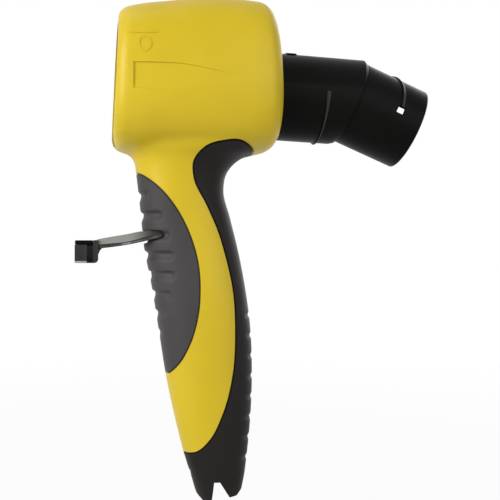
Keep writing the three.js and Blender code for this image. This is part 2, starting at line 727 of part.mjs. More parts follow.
function makeSpring() {
  const corners = spread(0, 2 * Math.PI, spring.sides).slice(0, spring.sides);
  const section = new THREE.Shape(
    corners.map((a) => new THREE.Vector2(spring.wire * Math.cos(a), spring.wire * Math.sin(a))),
  );
  const wire = new Helix();
  console.log(`return spring: least gap to itself ${leastGap(wire).toFixed(2)} mm`);
  const steps = spring.curlSteps * spring.turns;
  return solid(new THREE.ExtrudeGeometry(section, { steps, extrudePath: wire }));
}

// ---------- screws ----------
function makeScrew([x, z]) {
  const under = screwFloor + seat;
  const top = under + screw.headHeight;
  const shaft = crossBar(x, z, screw.shaft, -screw.reach + 1, under + 0.5);
  const head = crossBar(x, z, screw.head, under, top);
  const across = screw.slotWidth / 2;
  const driver = block(x - screw.slot, x + screw.slot, top - screw.slotDepth, top + 1, z - across, z + across)
    .add(block(x - across, x + across, top - screw.slotDepth, top + 1, z - screw.slot, z + screw.slot));
  return shaft.add(head).subtract(driver);
}

// ---------- assembly ----------
const part = new THREE.Group();

function place(name, manifold, material) {
  const mesh = new THREE.Mesh(toGeometry(manifold), material);
  mesh.name = name;
  part.add(mesh);
}

const yellow = plastic(colours.yellow, 0.4);
const skin = plastic(colours.skin, 0.75);
const rearSkin = plastic(colours.skinRear, 0.7);
const black = plastic(colours.black, 0.4);
const seal = plastic(colours.seal, 0.85);

place("left_housing", makeHousing(leftSide), yellow);
place("right_housing", makeHousing(rightSide), yellow);
place("left_front_skin", makeSkin(fingerForm, frontSkinOutline(0), leftSide), skin);
place("right_front_skin", makeSkin(fingerForm, frontSkinOutline(0), rightSide), skin);
place("left_rear_skin", makeSkin(palmForm, rearSkinOutline(0), leftSide), rearSkin);
place("right_rear_skin", makeSkin(palmForm, rearSkinOutline(0), rightSide), rearSkin);
place("front_socket", makeSocket(), black);
const socketSealRadius = socket.bore - sealRing.section - sealRing.lap;
place("socket_seal", sealAt(socket.depth - sealRing.section - seat, socketSealRadius), seal);
place("air_duct", makeDuct(), black);
place("swivel_seal", sealAt(ductEnd + sealRing.section + seat, elbow.bore + sealRing.seatOffset), seal);
place("swivel_bush", makeBush(), plastic(colours.bush, 0.6));
place("elbow", makeElbow(), black);
place("hose_socket", makeHoseSocket(), black);
place("catch_lever", makeLever(), plastic(colours.skin, 0.3));
place("catch_tip", makeTip(), plastic(colours.skin, 0.3));
place("lever_pin", crossBar(pivot.x, pivot.z, pivot.pin, -pinHalf, pinHalf, pinSides), metal());
place("return_spring", makeSpring(), metal());
screwPlaces.forEach((at, i) => place(`housing_screw_${i + 1}`, makeScrew(at), metal()));

export default part;
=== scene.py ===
# Hand-grip half of a hose-fed paint spray gun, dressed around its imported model.
# Lengths are written in millimetres and multiplied by mm. -X is the spray side, +Z is up.
import json
import math
import bpy
from mathutils import Matrix, Vector

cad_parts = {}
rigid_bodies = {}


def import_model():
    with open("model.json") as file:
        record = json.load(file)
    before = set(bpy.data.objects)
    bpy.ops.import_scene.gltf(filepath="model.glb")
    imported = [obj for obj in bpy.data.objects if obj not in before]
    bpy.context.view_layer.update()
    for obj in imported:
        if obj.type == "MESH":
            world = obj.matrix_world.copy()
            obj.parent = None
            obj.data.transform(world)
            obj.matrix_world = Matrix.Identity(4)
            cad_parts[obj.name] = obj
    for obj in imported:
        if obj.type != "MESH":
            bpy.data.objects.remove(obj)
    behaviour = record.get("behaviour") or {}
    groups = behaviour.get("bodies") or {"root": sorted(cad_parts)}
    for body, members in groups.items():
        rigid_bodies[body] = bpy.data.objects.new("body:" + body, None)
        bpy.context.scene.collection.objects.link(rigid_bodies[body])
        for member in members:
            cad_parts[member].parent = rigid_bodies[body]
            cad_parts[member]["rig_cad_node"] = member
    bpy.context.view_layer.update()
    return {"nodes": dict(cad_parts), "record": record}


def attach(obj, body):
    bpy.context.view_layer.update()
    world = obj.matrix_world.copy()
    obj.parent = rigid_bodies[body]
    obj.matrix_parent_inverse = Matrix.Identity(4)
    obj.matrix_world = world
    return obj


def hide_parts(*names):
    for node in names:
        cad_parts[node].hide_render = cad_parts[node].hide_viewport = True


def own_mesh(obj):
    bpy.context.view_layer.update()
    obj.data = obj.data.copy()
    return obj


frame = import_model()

mm = 0.001
print("frame loaded:", len(frame["nodes"]), "nodes")

airFront = Vector((-40.4, 0, 95)) * mm  # where the air axis leaves the front socket
airFall = math.radians(2.7)
seat = 0.3  # play between pieces that sit on each other
seamGap = 0.3
tongueGap, tongueRoot = 0.03, 0.2  # the tongue in the seam: its play, and its hold in the left half
skinDepth = 2.2  # soft skin, from the outer surface to the hard core
shellDepth = 4.6
beyond = 60  # past the part's widest place, for cutters
beyondRear = 200  # past the end of the hose socket


def clearSelection():
    if bpy.context.object and bpy.context.object.mode != "OBJECT":
        bpy.ops.object.mode_set(mode="OBJECT")
    bpy.ops.object.select_all(action="DESELECT")


def pick(piece):
    clearSelection()
    piece.select_set(True)
    bpy.context.view_layer.objects.active = piece


def named(name):
    piece = bpy.context.object
    piece.name = name
    piece.data.name = name
    return piece


def duplicate(piece, name):
    pick(piece)
    bpy.ops.object.duplicate()
    return named(name)


def discard(*pieces):
    for piece in pieces:
        bpy.data.objects.remove(piece)


def finishWith(piece, kind, **settings):
    pick(piece)
    modifier = piece.modifiers.new(kind.lower(), kind)
    for key, value in settings.items():
        setattr(modifier, key, value)
    bpy.ops.object.modifier_apply(modifier=modifier.name)


def combine(piece, other, operation, keep=False):
    finishWith(piece, "BOOLEAN", object=other, operation=operation, solver="MANIFOLD")
    if not keep:
        discard(other)
    return piece


def bake(piece, matrix):
    piece.data.transform(matrix)
    piece.data.update()
    return piece


def smoothShade(piece, angle=30):
    pick(piece)
    bpy.ops.object.shade_smooth_by_angle(angle=math.radians(angle))


# Marks how much painted highlight each face takes, from 0 to 1: a lighter colour that stands in for light the
# face reflects.
def paintedHighlight(piece, share):
    layer = piece.data.attributes.new("highlightShare", "FLOAT", "FACE")
    for face, value in zip(piece.data.polygons, layer.data):
        value.value = float(share(face.center / mm, face.normal))
    return piece


# Painted highlight on the long slopes of the ribs on a round piece, between two stations: they are coloured
# lighter for the light they catch.
def paintedRibHighlight(piece, place, radius, s0, s1):
    back = place.inverted()
    proud, leastFacing = 0.15, 0.05

    def onSlope(centre, normal):
        at = back @ (centre * mm) / mm
        if math.hypot(at.x, at.y) <= radius + proud:
            return False
        return s0 < at.z < s1 and (back.to_3x3() @ normal).z > leastFacing

    return paintedHighlight(piece, onSlope)


# Rows of numbers filled in along a smooth curve that passes through each of them.
def splineRows(rows, step):
    spans = [max(math.dist(a, b), 1e-6) for a, b in zip(rows, rows[1:])]
    rates = [[(q - p) / h for p, q in zip(a, b)] for a, b, h in zip(rows, rows[1:], spans)]
    slopes = [rates[0]]
    for i in range(1, len(rows) - 1):
        before, after = spans[i - 1], spans[i]
        slopes.append([(p * after + q * before) / (before + after) for p, q in zip(rates[i - 1], rates[i])])
    slopes.append(rates[-1])
    filled = [tuple(rows[0])]
    for i, span in enumerate(spans):
        count = max(1, round(span / step))
        for k in range(1, count + 1):
            t = k / count
            startShare, endShare = 2 * t ** 3 - 3 * t ** 2 + 1, 3 * t ** 2 - 2 * t ** 3
            startPull, endPull = (t ** 3 - 2 * t ** 2 + t) * span, (t ** 3 - t ** 2) * span
            filled.append(tuple(
                startShare * a + endShare * b + startPull * m + endPull * n
                for a, b, m, n in zip(rows[i], rows[i + 1], slopes[i], slopes[i + 1])
            ))
    return filled


# A flat ring of points that are then moved to their places.
def flatRing(name, count, fill="NGON"):
    clearSelection()
    bpy.ops.mesh.primitive_circle_add(vertices=count, radius=1, fill_type=fill)
    piece = named(name)
    pick(piece)
    return piece


def editAll():
    bpy.ops.object.mode_set(mode="EDIT")
    bpy.ops.mesh.select_all(action="SELECT")


# Leaves edit mode with every face pointing outwards.
def closeEdit():
    bpy.ops.mesh.select_all(action="SELECT")
    bpy.ops.mesh.normals_make_consistent(inside=False)
    bpy.ops.object.mode_set(mode="OBJECT")


# A ring with a rounded-rectangle outline, extruded and scaled from row to row.
# Rows are (position along the axis, low edge, high edge, half width), in millimetres.
def loft(name, rows, squareness, points, alongX):
    piece = flatRing(name, points)
    place, low, high, half = rows[0]
    for i, vertex in enumerate(piece.data.vertices):
        angle = 2 * math.pi * i / points
        c, s = math.cos(angle), math.sin(angle)
        u = math.copysign(abs(c) ** (2 / squareness), c) * (high - low) / 2 + (high + low) / 2
        v = math.copysign(abs(s) ** (2 / squareness), s) * half
        vertex.co = Vector((place, v, u) if alongX else (u, v, place)) * mm
    editAll()
    for before, after in zip(rows, rows[1:]):
        middle, nextMiddle = (before[1] + before[2]) / 2, (after[1] + after[2]) / 2
        span = (after[2] - after[1]) / (before[2] - before[1])
        across = after[3] / before[3]
        along, shift = after[0] - before[0], nextMiddle - middle
        if alongX:
            move, centre, scale = (along, 0, shift), (after[0], 0, nextMiddle), (1, across, span)
        else:
            move, centre, scale = (shift, 0, along), (nextMiddle, 0, after[0]), (span, across, 1)
        bpy.ops.mesh.extrude_region_move(TRANSFORM_OT_translate={"value": Vector(move) * mm})
        bpy.ops.transform.resize(value=scale, center_override=Vector(centre) * mm)
    closeEdit()
    return piece


# One ring of points after another, each extruded from the last.
def ringLoft(name, rings):
    count = len(rings[0])
    piece = flatRing(name, count)
    for i, ring in enumerate(rings):
        bpy.ops.object.mode_set(mode="EDIT")
        if i:
            bpy.ops.mesh.extrude_region_move(TRANSFORM_OT_translate={"value": (mm, 0, 0)})
        bpy.ops.object.mode_set(mode="OBJECT")
        for vertex, point in zip(list(piece.data.vertices)[i * count:], ring):
            vertex.co = Vector(point) * mm
    bpy.ops.object.mode_set(mode="EDIT")
    closeEdit()
    return piece


# A side outline, in millimetres, pushed through the part from left to right.
def sideSlab(name, outline, y0=-beyond, y1=beyond):
    piece = flatRing(name, len(outline))
    for vertex, (x, z) in zip(piece.data.vertices, outline):
        vertex.co = Vector((x, y0, z)) * mm
    editAll()
    bpy.ops.mesh.extrude_region_move(TRANSFORM_OT_translate={"value": (0, (y1 - y0) * mm, 0)})
    closeEdit()
    return piece


def boxBetween(name, low, high):
    clearSelection()
    low, high = Vector(low) * mm, Vector(high) * mm
    bpy.ops.mesh.primitive_cube_add(size=1, location=(low + high) / 2, scale=high - low)
    bpy.ops.object.transform_apply()
    return named(name)


def crossBar(name, x, z, radius, y0, y1, sides=32):
    clearSelection()
    bpy.ops.mesh.primitive_cylinder_add(
        vertices=sides, radius=radius * mm, depth=(y1 - y0) * mm,
        location=Vector((x, (y0 + y1) / 2, z)) * mm, rotation=(math.pi / 2, 0, 0),
    )
    bpy.ops.object.transform_apply()
    return named(name)


airPlace = Matrix.Translation(airFront) @ Matrix.Rotation(math.pi / 2 + airFall, 4, "Y")


def rodAlong(name, s0, s1, radius, place=airPlace, sides=96):
    clearSelection()
    bpy.ops.mesh.primitive_cylinder_add(
        vertices=sides, radius=radius * mm, depth=(s1 - s0) * mm, location=(0, 0, (s0 + s1) / 2 * mm),
    )
    bpy.ops.object.transform_apply()
    return bake(named(name), place)


# A ring spun from a closed profile of (station, radius) points round the axis.
def spun(name, profile, place=airPlace, steps=96):
    piece = flatRing(name, len(profile), "NOTHING")
    for vertex, (station, radius) in zip(piece.data.vertices, profile):
        vertex.co = Vector((radius, 0, station)) * mm
    editAll()
    bpy.ops.mesh.spin(steps=steps, angle=2 * math.pi, center=(0, 0, 0), axis=(0, 0, 1))
    bpy.ops.mesh.select_all(action="SELECT")
    bpy.ops.mesh.remove_doubles(threshold=1e-6)
    closeEdit()
    return bake(piece, place)


# Points of a quarter round at an outer corner. Its rim faces up the axis (towards is 1) or down (-1).
def roundedCorner(station, radius, bevel, towards, steps=5):
    points = []
    for k in range(steps + 1):
        angle = math.pi / 2 * k / steps
        back, inwards = bevel * (1 - math.sin(angle)), bevel * (1 - math.cos(angle))
        points.append((station - towards * back, radius - inwards))
    return points if towards > 0 else points[::-1]


# Clouds tint a finish, smears change its gloss and fine grain roughens it.
texture = {"cloud": 22, "tintFrom": 0.3, "tintTo": 0.7, "smear": 60, "grainScale": 2200, "grainDepth": 0.02}


def mouldedMaterial(name, look):
    material = bpy.data.materials.new(name)
    material.use_nodes = True
    nodes, links = material.node_tree.nodes, material.node_tree.links
    shader = nodes["Principled BSDF"]
    shader.inputs["Metallic"].default_value = look.get("metallic", 0)
    shader.inputs["Specular IOR Level"].default_value = look.get("specular", 0.5)
    coords = nodes.new("ShaderNodeTexCoord")

    def noise(scale, detail=3):
        node = nodes.new("ShaderNodeTexNoise")
        node.inputs["Scale"].default_value = scale
        node.inputs["Detail"].default_value = detail
        links.new(coords.outputs["Object"], node.inputs["Vector"])
        return node.outputs["Fac"]

    tint = nodes.new("ShaderNodeValToRGB")
    start, end = tint.color_ramp.elements
    start.position, end.position = texture["tintFrom"], texture["tintTo"]
    start.color, end.color = (*look["dark"], 1), (*look["light"], 1)
    links.new(noise(texture["cloud"]), tint.inputs["Fac"])
    colour = tint.outputs["Color"]
    # A lighter colour is mixed in where the mesh marks painted highlight.
    if "paintedHighlight" in look:
        highlightAttr = nodes.new("ShaderNodeAttribute")
        highlightAttr.attribute_name = "highlightShare"
        blend = nodes.new("ShaderNodeMix")
        blend.data_type = "RGBA"
        share, plain, highlightColour = (blend.inputs[i] for i in (0, 6, 7))  # the sockets used with colours
        highlightColour.default_value = (*look["paintedHighlight"], 1)
        links.new(highlightAttr.outputs["Fac"], share)
        links.new(colour, plain)
        colour = blend.outputs[2]
    links.new(colour, shader.inputs["Base Color"])
    gloss = nodes.new("ShaderNodeMapRange")
    gloss.inputs["To Min"].default_value, gloss.inputs["To Max"].default_value = look["roughness"]
    links.new(noise(texture["smear"]), gloss.inputs["Value"])
    links.new(gloss.outputs["Result"], shader.inputs["Roughness"])
    grain = nodes.new("ShaderNodeBump")
    grain.inputs["Strength"].default_value = look["grain"]
    grain.inputs["Distance"].default_value = texture["grainDepth"] * mm
    links.new(noise(texture["grainScale"], detail=2), grain.inputs["Height"])
    links.new(grain.outputs["Normal"], shader.inputs["Normal"])
    return material


finishes = {
    "yellow_shell": {
        "dark": (0.59, 0.425, 0.01), "light": (0.645, 0.47, 0.015),
        "roughness": (0.38, 0.48), "grain": 0.25, "specular": 0.3,
    },
    "front_skin": {
        "dark": (0.04, 0.0375, 0.037), "light": (0.05, 0.047, 0.0465),
        "roughness": (0.5, 0.62), "grain": 0.4, "specular": 0.25,
    },
    "rear_skin": {
        "dark": (0.0105, 0.0085, 0.008), "light": (0.0145, 0.012, 0.0115),
        "roughness": (0.48, 0.6), "grain": 0.4, "specular": 0.14,
    },
    "black_fitting": {
        "dark": (0.0028, 0.0028, 0.0025), "light": (0.004, 0.0039, 0.0036),
        # The lighter colour in this entry is painted highlight for the slopes of the tube ribs.
        "paintedHighlight": (0.045, 0.045, 0.042), "roughness": (0.32, 0.42), "grain": 0.25, "specular": 0.05,
    },
    "seal": {
        "dark": (0.006, 0.006, 0.006), "light": (0.009, 0.009, 0.009),
        "roughness": (0.6, 0.75), "grain": 0.3, "specular": 0.1,
    },
    "swivel_bush": {
        "dark": (0.62, 0.62, 0.59), "light": (0.68, 0.68, 0.65),
        "roughness": (0.45, 0.55), "grain": 0.2,
    },
    "catch": {
        "dark": (0.014, 0.0125, 0.012), "light": (0.02, 0.018, 0.0175),
        # The lighter colour in this entry is painted highlight for the arm's upper facet and the bottom
        # chamfer of the tip.
        "paintedHighlight": (0.44, 0.43, 0.41), "roughness": (0.3, 0.38), "grain": 0.15, "specular": 0.28,
    },
    "steel": {
        "dark": (0.4, 0.4, 0.41), "light": (0.5, 0.5, 0.51),
        "roughness": (0.28, 0.4), "grain": 0.2, "metallic": 1,
    },
}
materials = {name: mouldedMaterial(name, look) for name, look in finishes.items()}
slotOf = {s["node"]: s["material_slot"] for s in frame["record"]["subparts"]}


def dress(piece, slot):
    piece.data.materials.clear()
    piece.data.materials.append(materials[slot])


def deliver(piece, body, slot, *nodes, angle=30):
    smoothShade(piece, angle)
    dress(piece, slot)
    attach(piece, body)
    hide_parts(*nodes)
    print("made", piece.name, len(piece.data.polygons), "faces")


for nodeName, node in frame["nodes"].items():
    dress(node, slotOf[nodeName])

# The outer form: a barrel head, the grip and the flare between them.
headShape = {
    "squareness": 2.7,
    "rearLean": 0.038, "rearBulge": 1.6, "bulgeReach": 35,  # the rear face leans, fullest halfway up
    "rows": [  # x, bottom, top, half width
        (-40.5, 63.8, 130.5, 34), (-39.4, 61.6, 132.6, 36.2), (-36.8, 59.7, 134.4, 38),
        (-30, 58.4, 136.2, 39), (-14, 58.2, 138.5, 39.6), (8, 58.2, 141, 40), (24, 58.4, 141, 39.8),
        (34, 58.8, 140.5, 39.1), (40.8, 60, 139.7, 37.4), (44.4, 62.2, 137.2, 34), (45.8, 66, 132.6, 29.5),
    ],
}
gripShape = {
    "squareness": 2.35,
    "rows": [  # z, front, rear, half width
        (-131, 6, 26.5, 9), (-127, 3.8, 27.8, 11.6), (-118, 1.1, 29.2, 13.4), (-104, -3.3, 31, 14.8),
        (-85, -8.1, 32.8, 16.6), (-62, -13, 33.7, 18.4), (-36, -17.1, 32.8, 19.6), (-12, -21, 29.6, 19.9),
        (8, -24.9, 25.6, 19.6), (24, -26.5, 21.6, 19.2), (39, -28.1, 18, 19.2), (48, -29.2, 19.7, 20),
        (53.5, -30, 24, 21.4), (57, -32, 29, 23), (60, -36, 38, 25.4), (64, -37.5, 41, 27),
    ],
}


def insetRows(rows, inset, alongX):
    start, end = rows[0][0], rows[-1][0]
    if not alongX:
        return [(p, low + inset, high - inset, half - inset) for p, low, high, half in rows]
    squeeze = (end - start - 2 * inset) / (end - start)
    return [
        (start + inset + (p - start) * squeeze, low + inset, high - inset, half - inset)
        for p, low, high, half in rows
    ]


def leanHead(piece):
    start, end = headShape["rows"][0][0] * mm, headShape["rows"][-1][0] * mm
    for vertex in piece.data.vertices:
        along = (vertex.co.x - start) / (end - start)
        rise = vertex.co.z - airFront.z
        vertex.co.x += rise * (math.tan(airFall) * (1 - along) - headShape["rearLean"] * along)
        fromMiddle = rise / (headShape["bulgeReach"] * mm)
        vertex.co.x -= headShape["rearBulge"] * mm * max(along, 0) ** 2 * fromMiddle ** 2


# The outer form, or the same form a little deeper. Steps are in millimetres along it.
def wholeForm(name, inset, step=3, points=48, gripFoot=None):
    headRows = insetRows(splineRows(headShape["rows"], step), inset, True)
    head = loft(name, headRows, headShape["squareness"], points, True)
    leanHead(head)
    gripRows = splineRows(gripShape["rows"], step)
    if gripFoot is not None:
        gripRows = [row for row in gripRows if row[0] >= gripFoot]
    grip = loft(name + "Grip", insetRows(gripRows, inset, False), gripShape["squareness"], points, False)
    return combine(head, grip, "UNION")


outer = wholeForm("outerForm", inset=0, step=1.5, points=72)
finishWith(outer, "REMESH", mode="VOXEL", voxel_size=0.8 * mm)
print("outer form:", len(outer.data.polygons), "faces")


# The flare's crease under the head is rubbed down to a soft hollow, and the rest only evened.
def rubDown(piece, low, high, repeat):
    pick(piece)
    bpy.ops.object.mode_set(mode="EDIT")
    bpy.ops.mesh.select_all(action="DESELECT")
    bpy.ops.object.mode_set(mode="OBJECT")
    for vertex in piece.data.vertices:
        vertex.select = low * mm < vertex.co.z < high * mm
    bpy.ops.object.mode_set(mode="EDIT")
    bpy.ops.mesh.vertices_smooth(factor=0.5, repeat=repeat)
    bpy.ops.object.mode_set(mode="OBJECT")


rubDown(outer, low=50, high=66, repeat=40)
rubDown(outer, low=-200, high=200, repeat=5)

core = wholeForm("coreForm", inset=skinDepth, gripFoot=-113.3)
skinBack = wholeForm("skinBack", inset=skinDepth - seat, gripFoot=-113.6)
hollow = wholeForm("hollowForm", inset=shellDepth, step=4, points=40, gripFoot=-110.9)
ribLimit = wholeForm("ribLimit", inset=1)
saddleFloor = wholeForm("saddleFloor", inset=1.2)
slotFloor = wholeForm("slotFloor", inset=1.65)
print("forms ready")

# Outlines of the soft skins, seen from the side.
skinOutlines = {
    "front": [
        (-29.8, 47.4), (-25.6, 44.9), (-16.6, 37.2), (-8.8, 27), (-2.4, 14), (1.6, -0.2),
        (2.7, -13.8), (1.9, -26.4), (-2.8, -43.7), (-8, -53.4), (-12.3, -58.6),
    ],
    "rear": [
        (33.5, 58), (29.7, 60.7), (23.4, 63.3), (15.8, 62.9), (6, 59.8), (0.4, 53), (0.6, 45), (7.5, 30.7),
        (13.8, 16.5), (18.5, 0.9), (21.7, -14), (23, -37), (21.8, -58.5), (16.3, -80.6), (8.9, -95.2),
        (2.5, -101.2), (-4, -103),
    ],
    "step": 1.2, "foot": -140, "groove": 0.9,
    "base": 0.8,  # a thin sunken edge of the skin lines the bottom of the groove
    "baseDepth": 0.7,
}


def offsetEdge(edge, distance):
    moved = []
    for i, (x, z) in enumerate(edge):
        before, after = edge[max(i - 1, 0)], edge[min(i + 1, len(edge) - 1)]
        along = Vector((after[0] - before[0], after[1] - before[1])).normalized()
        moved.append((x - along.y * distance, z + along.x * distance))
    return moved


def skinZone(which, grow):
    edge = splineRows(skinOutlines[which], skinOutlines["step"])
    edge = offsetEdge(edge, grow if which == "front" else -grow)
    top, bottom = edge[0][1], edge[-1][1]
    if which == "front":
        return sideSlab("frontZone", [(-beyond, top), *edge, (-beyond, bottom)])
    foot = [(-beyond, skinOutlines["foot"]), (beyond, skinOutlines["foot"])]
    return sideSlab("rearZone", [(beyond, top), *edge, (-beyond, bottom), *foot])


lever = {
    "pivot": (-15, 16.2), "travel": math.radians(5), "clearance": 0.3,
    "edge": 0.5, "channel": 0.2, "saddleStep": 1.5,
    "saddle": [  # x, bottom, top, half width, height of the upper facet, how far it leans in
        (-50, 7.2, 12.1, 6.4, 2.6, 2.6), (-46, 7.6, 12.9, 7.4, 3.2, 3.2), (-41, 8.2, 13.8, 8.4, 3.7, 3.8),
        (-34, 9.3, 15, 10.6, 4.1, 4.6), (-27, 10.7, 16.4, 13.5, 3.6, 4), (-20.6, 12.2, 16.9, 15.4, 2.2, 2.6),
        (-17.6, 12.9, 16.7, 16.5, 1.4, 1.5), (-16.2, 13.7, 16.2, 16.6, 1, 1),
    ],
    "arm": [(-26, 11, 16.6, 6.8), (-18, 12.6, 18.2, 6.8), (-8, 14.4, 19.4, 6.6), (2, 15, 19.4, 6)],
    "armSquareness": 6, "armPoints": 24, "slotRows": 3, "slotLead": 8,
    "hub": 3.4, "hubHalf": 8.2, "bore": 1.8, "boreHalf": 30,
    "gusset": [
        (-49.28, 4.2), (-48.9, 5), (-48.4, 6.2), (-47.5, 7.3), (-46, 7.9),
        (-44.5, 8.3), (-44.5, 9), (-49.28, 9),
    ],
    "gussetHalf": 5.9, "tongue": ((-55, -4, 7.6), (-47, 4, 10.6)),
    # Painted highlight on the arm's upper facet: its share, where it starts, over what length it grows, and
    # how far up the faces must point.
    "highlightShare": 0.5, "highlightFrom": -20, "highlightOver": 14, "highlightFacing": 0.3,
}


# The slots leave room all round and let the arm turn down by its travel.
def slotSpace(x, low, high):
    grow, drop = lever["clearance"], math.tan(lever["travel"])
    ahead = lever["pivot"][0] - x
    return low - grow - drop * max(ahead, 0), high + grow + drop * max(-ahead, 0)


def armLoft(name, rows):
    return loft(name, rows, lever["armSquareness"], lever["armPoints"], True)


def armSlot():
    grow = lever["clearance"]
    rows = lever["arm"][:lever["slotRows"]]
    rows = [(x, *slotSpace(x, low, high), half + grow) for x, low, high, half in rows]
    front, *space = rows[0]
    return armLoft("armSlot", [(front - lever["slotLead"], *space), *rows])


# Half of a section, from the underside up: a channelled side and a facet that leans in to the top.
def saddleRing(x, low, high, half, facet, lean, channel):
    edge = lever["edge"]
    side = [
        (half - edge, low), (half, low + edge), (half - channel, (low + edge + high - facet) / 2),
        (half, high - facet), (half - lean, high),
    ]
    return [(x, y, z) for y, z in side] + [(x, -y, z) for y, z in side[::-1]]


# The arm's wide root lies round the grip, in the thickness of the soft skin.
def saddle():
    rows = splineRows(lever["saddle"], lever["saddleStep"])
    return ringLoft("saddle", [saddleRing(*row, lever["channel"]) for row in rows])


def saddleSlot():
    grow = lever["clearance"]
    rings = []
    for x, low, high, half, facet, lean in splineRows(lever["saddle"], lever["saddleStep"]):
        low, high = slotSpace(x, low, high)
        rings.append(saddleRing(x + grow, low, high, half + 2 * grow, facet, lean, 0))
    rings[-1] = [(x + 2 * grow, y, z) for x, y, z in rings[-1]]  # the root's lower edge swings back
    return combine(ringLoft("saddleSlot", rings), slotFloor, "DIFFERENCE", keep=True)


housing = {
    "screws": [(-12, 130.5), (33, 129.5), (-14, 56), (-3, 37.5), (12.4, -20), (5.5, -76)],
    "boss": 3.9, "shaft": 1.7, "shaftEnd": 7, "head": 3.2, "headFloor": 6, "reach": 11,
    "lip": 3.2, "ring": 33.1, "flange": 34.4, "flangeEnd": 6.4, "socketFrom": -20, "socketEnd": 27,
    "ductSeat": 20.8, "cupFrom": 66, "cup": 26.5, "bushFrom": 77, "bush": 26.3, "bushEnd": 130,
    "ribs": [(6.4, 8.8), (44, 46.4), (68, 90)],  # stations of the ribs that hold socket, duct and bush
    "ribRadius": 80, "ribSpace": ((-beyond, -beyond, 54), (70, beyond, 160)), "overlap": 1,
    "pinGap": 8.5, "pinReach": 12.3, "shelf": ((-9, -beyond, 27.7), (3, beyond, 29.5)),
}


def housingBores():
    h = housing
    return [
        rodAlong("bore", h["socketFrom"], h["socketEnd"], h["ring"]),
        rodAlong("bore", h["lip"], h["flangeEnd"], h["flange"]),
        rodAlong("bore", h["socketEnd"] - h["overlap"], h["cupFrom"] + h["overlap"], h["ductSeat"]),
        rodAlong("bore", h["cupFrom"], h["bushFrom"], h["cup"]),
        rodAlong("bore", h["bushFrom"] - h["overlap"], h["bushEnd"], h["bush"]),
    ]


# A bare panel sunk into the left side of the head, deepest at its front edge.
panel = {
    "front": -32.2, "rear": 33.7, "low": 87.4, "depth": 0.9, "step": 2.5, "sideStep": 1,
    "upper": [
        (-32.2, 100.3), (-20, 100.3), (-7.2, 99.9), (6.3, 97.6), (19.8, 95), (30.1, 91.3), (33.7, 88.7),
    ],
    "sides": [  # x, half width of the head
        (-40, 38.4), (-30, 39), (-14, 39.6), (8, 40), (24, 39.8), (34, 39.1),
    ],
}


def panelCutter():
    low = panel["low"]
    halfWidths = splineRows(panel["sides"], panel["sideStep"])
    rings = []
    for x, high in splineRows(panel["upper"], panel["step"]):
        along = (x - panel["front"]) / (panel["rear"] - panel["front"])
        half = min(halfWidths, key=lambda row: abs(row[0] - x))[1]
        floor = panel["depth"] * (1 - along) - half
        slanted = low - beyond - floor  # the lower wall leans out to the surface
        rings.append([(x, -beyond, slanted), (x, floor, low), (x, floor, high), (x, -beyond, high)])
    return ringLoft("panelCutter", rings)


# Raised marks on the left side: a line that the spray head is lined up with, and a plain ring below it.
marks = {
    "height": 0.3, "inner": -36.5, "line": (-33.9, -20.5, 115.2, 116), "ring": (-26.5, 109.7, 3.4, 4.1),
    "stroke": 0.8, "points": 28,
}


def raisedOn(name, cutter):
    mark = duplicate(outer, name)
    finishWith(mark, "DISPLACE", strength=marks["height"] * mm, mid_level=0)
    return combine(mark, cutter, "INTERSECT")


def markLine():
    x0, x1, z0, z1 = marks["line"]
    return raisedOn("markLine", boxBetween("cutter", (x0, -beyond, z0), (x1, marks["inner"], z1)))


def markRing():
    x, z, wide, tall = marks["ring"]

    def oval(shrink):
        turns = [2 * math.pi * i / marks["points"] for i in range(marks["points"])]
        outline = [(x + (wide - shrink) * math.cos(a), z + (tall - shrink) * math.sin(a)) for a in turns]
        return sideSlab("oval", outline, -beyond, marks["inner"])

    return raisedOn("markRing", combine(oval(0), oval(marks["stroke"]), "DIFFERENCE"))


# The ribs and bosses inside the shell, and the shelf that the return spring presses on.
def housingInside():
    h = housing
    inside, *others = [rodAlong("rib", s0, s1, h["ribRadius"]) for s0, s1 in h["ribs"]]
    for rib in others:
        combine(inside, rib, "UNION")
    combine(inside, boxBetween("headOnly", *h["ribSpace"]), "INTERSECT")
    for x, z in h["screws"] + [lever["pivot"]]:
        gap = h["pinGap"] if (x, z) == lever["pivot"] else 0
        for side in (-1, 1):
            y0, y1 = sorted((side * gap, side * beyond))
            combine(inside, crossBar("boss", x, z, h["boss"], y0, y1), "UNION")
    combine(inside, boxBetween("shelf", *h["shelf"]), "UNION")
    return combine(inside, ribLimit, "INTERSECT", keep=True)


def makeHousing():
    h = housing
    shell = duplicate(outer, "housingShell")
    combine(shell, hollow, "DIFFERENCE", keep=True)
    combine(shell, housingInside(), "UNION")
    for bore in housingBores():
        combine(shell, bore, "DIFFERENCE")
    for which in ("front", "rear"):
        zone = skinZone(which, skinOutlines["groove"])
        combine(zone, core, "DIFFERENCE", keep=True)
        combine(shell, zone, "DIFFERENCE")
    combine(shell, armSlot(), "DIFFERENCE")
    combine(shell, panelCutter(), "DIFFERENCE")
    for mark in (markLine, markRing):
        combine(shell, mark(), "UNION")
    for x, z in h["screws"]:
        shaft = crossBar("hole", x, z, h["shaft"], -h["reach"], h["shaftEnd"], sides=24)
        combine(shell, shaft, "DIFFERENCE")
        head = crossBar("hole", x, z, h["head"], h["headFloor"], beyond, sides=40)
        combine(shell, head, "DIFFERENCE")
    x, z = lever["pivot"]
    pinHole = crossBar("hole", x, z, lever["bore"], -h["pinReach"], h["pinReach"], sides=24)
    return combine(shell, pinHole, "DIFFERENCE")


